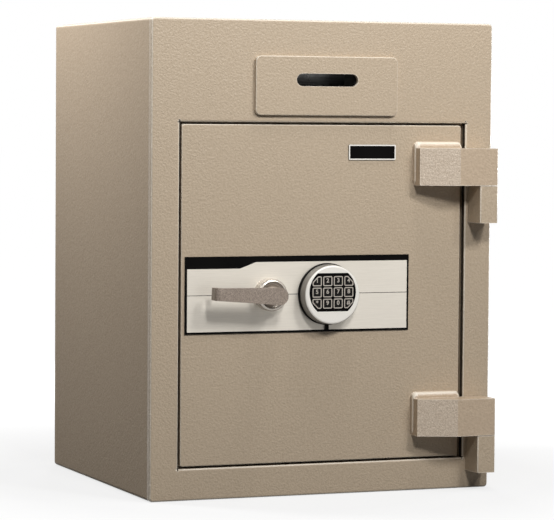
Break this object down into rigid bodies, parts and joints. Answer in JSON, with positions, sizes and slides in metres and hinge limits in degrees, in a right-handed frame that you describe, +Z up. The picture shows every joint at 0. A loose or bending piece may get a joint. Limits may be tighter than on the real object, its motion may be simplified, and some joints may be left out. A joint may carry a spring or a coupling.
{
  "type": "deposit safe",
  "caption": "Steel deposit safe with a posting slot above a hinged door, round electronic keypad, lever handle and sliding bolts.",
  "frame": {"origin": "on the floor at the middle of the body's footprint (hinges, handle and keypad left out)", "axes": "+Z up, the door faces -Y, +X towards the hinge side"},
  "size_m": [0.5, 0.4705, 0.645],
  "materials": {
    "beige_paint": "hammered",
    "liner_paint": "matt",
    "barrier_fill": "rough cast",
    "plain_steel": "plain",
    "bright_steel": "turned",
    "seal_rubber": "matt",
    "black_plastic": "fine satin",
    "brushed_facing": "brushed",
    "lock_alloy": "cast",
    "satin_silver": "satin",
    "board_green": "lacquered",
    "cast_nickel": "fine grain satin",
    "brass": "turned",
    "key_plastic": "satin"
  },
  "bodies": {
    "cabinet": {"outer_casing": "beige_paint", "back_panel": "beige_paint", "front_frame": "beige_paint", "door_jamb": "beige_paint", "inner_liner": "liner_paint", "barrier_fill": "barrier_fill", "slot_plate": "beige_paint", "deposit_chute": "liner_paint", "anti_fish_baffle": "bright_steel", "upper_hinge_knuckle": "beige_paint", "lower_hinge_knuckle": "beige_paint", "hinge_pins": "bright_steel", "hinge_bearing_balls": "bright_steel"},
    "door": {"door_plate": "beige_paint", "door_inner_pan": "beige_paint", "door_fill": "barrier_fill", "boltwork_plate": "plain_steel", "door_back_cover": "beige_paint", "cover_screws": "bright_steel", "upper_hinge_strap": "beige_paint", "lower_hinge_strap": "beige_paint", "hinge_side_dogs": "bright_steel", "bolt_guides": "plain_steel", "carriage_studs": "bright_steel", "door_seal": "seal_rubber", "name_plate": "black_plastic", "fascia_backing": "black_plastic", "fascia_facing": "brushed_facing", "lock_case": "lock_alloy", "lock_cover": "lock_alloy", "lock_solenoid": "brass", "lock_screws": "bright_steel", "cable_tube": "plain_steel", "keypad_cable": "black_plastic", "keypad_base": "black_plastic", "keypad_housing": "satin_silver", "keypad_window": "black_plastic", "keypad_board": "board_green", "keypad_battery": "black_plastic", "handle_rose": "cast_nickel", "spindle_bush": "brass"},
    "handle": {"handle_lever": "cast_nickel", "handle_spindle": "plain_steel", "crank_roller": "brass"},
    "boltwork": {"bolt_carriage": "plain_steel", "live_bolts": "bright_steel", "bolt_nuts": "plain_steel"},
    "lock_bolt": {"lock_bolt": "brass"},
    "key_1": {"key_1": "key_plastic"},
    "key_2": {"key_2": "key_plastic"},
    "key_3": {"key_3": "key_plastic"},
    "key_4": {"key_4": "key_plastic"},
    "key_5": {"key_5": "key_plastic"},
    "key_6": {"key_6": "key_plastic"},
    "key_7": {"key_7": "key_plastic"},
    "key_8": {"key_8": "key_plastic"},
    "key_9": {"key_9": "key_plastic"},
    "key_10": {"key_10": "key_plastic"},
    "key_11": {"key_11": "key_plastic"},
    "key_12": {"key_12": "key_plastic"}
  },
  "joints": [
    {"name": "door_hinge", "type": "hinge", "parent": "cabinet", "child": "door", "pos_m": [0.228, -0.2365, 0.25], "axis": [0, 0, 1], "range_deg": [0, 120]},
    {"name": "handle_turn", "type": "hinge", "parent": "door", "child": "handle", "pos_m": [-0.082, -0.2125, 0.275], "axis": [0, -1, 0], "range_deg": [0, 90]},
    {"name": "bolt_slide", "type": "slide", "parent": "door", "child": "boltwork", "axis": [-1, 0, 0], "range_m": [0, 0.026]},
    {"name": "lock_bolt_slide", "type": "slide", "parent": "door", "child": "lock_bolt", "axis": [0, 0, 1], "range_m": [0, 0.009]},
    {"name": "key_1_press", "type": "slide", "parent": "door", "child": "key_1", "axis": [0, 1, 0], "range_m": [0, 0.0008], "stiffness_N_per_m": 400},
    {"name": "key_2_press", "type": "slide", "parent": "door", "child": "key_2", "axis": [0, 1, 0], "range_m": [0, 0.0008], "stiffness_N_per_m": 400},
    {"name": "key_3_press", "type": "slide", "parent": "door", "child": "key_3", "axis": [0, 1, 0], "range_m": [0, 0.0008], "stiffness_N_per_m": 400},
    {"name": "key_4_press", "type": "slide", "parent": "door", "child": "key_4", "axis": [0, 1, 0], "range_m": [0, 0.0008], "stiffness_N_per_m": 400},
    {"name": "key_5_press", "type": "slide", "parent": "door", "child": "key_5", "axis": [0, 1, 0], "range_m": [0, 0.0008], "stiffness_N_per_m": 400},
    {"name": "key_6_press", "type": "slide", "parent": "door", "child": "key_6", "axis": [0, 1, 0], "range_m": [0, 0.0008], "stiffness_N_per_m": 400},
    {"name": "key_7_press", "type": "slide", "parent": "door", "child": "key_7", "axis": [0, 1, 0], "range_m": [0, 0.0008], "stiffness_N_per_m": 400},
    {"name": "key_8_press", "type": "slide", "parent": "door", "child": "key_8", "axis": [0, 1, 0], "range_m": [0, 0.0008], "stiffness_N_per_m": 400},
    {"name": "key_9_press", "type": "slide", "parent": "door", "child": "key_9", "axis": [0, 1, 0], "range_m": [0, 0.0008], "stiffness_N_per_m": 400},
    {"name": "key_10_press", "type": "slide", "parent": "door", "child": "key_10", "axis": [0, 1, 0], "range_m": [0, 0.0008], "stiffness_N_per_m": 400},
    {"name": "key_11_press", "type": "slide", "parent": "door", "child": "key_11", "axis": [0, 1, 0], "range_m": [0, 0.0008], "stiffness_N_per_m": 400},
    {"name": "key_12_press", "type": "slide", "parent": "door", "child": "key_12", "axis": [0, 1, 0], "range_m": [0, 0.0008], "stiffness_N_per_m": 400}
  ],
  "couplings": [
    {"joint": "bolt_slide", "follows": "handle_turn", "m_per_rad": 0.01655}
  ]
}
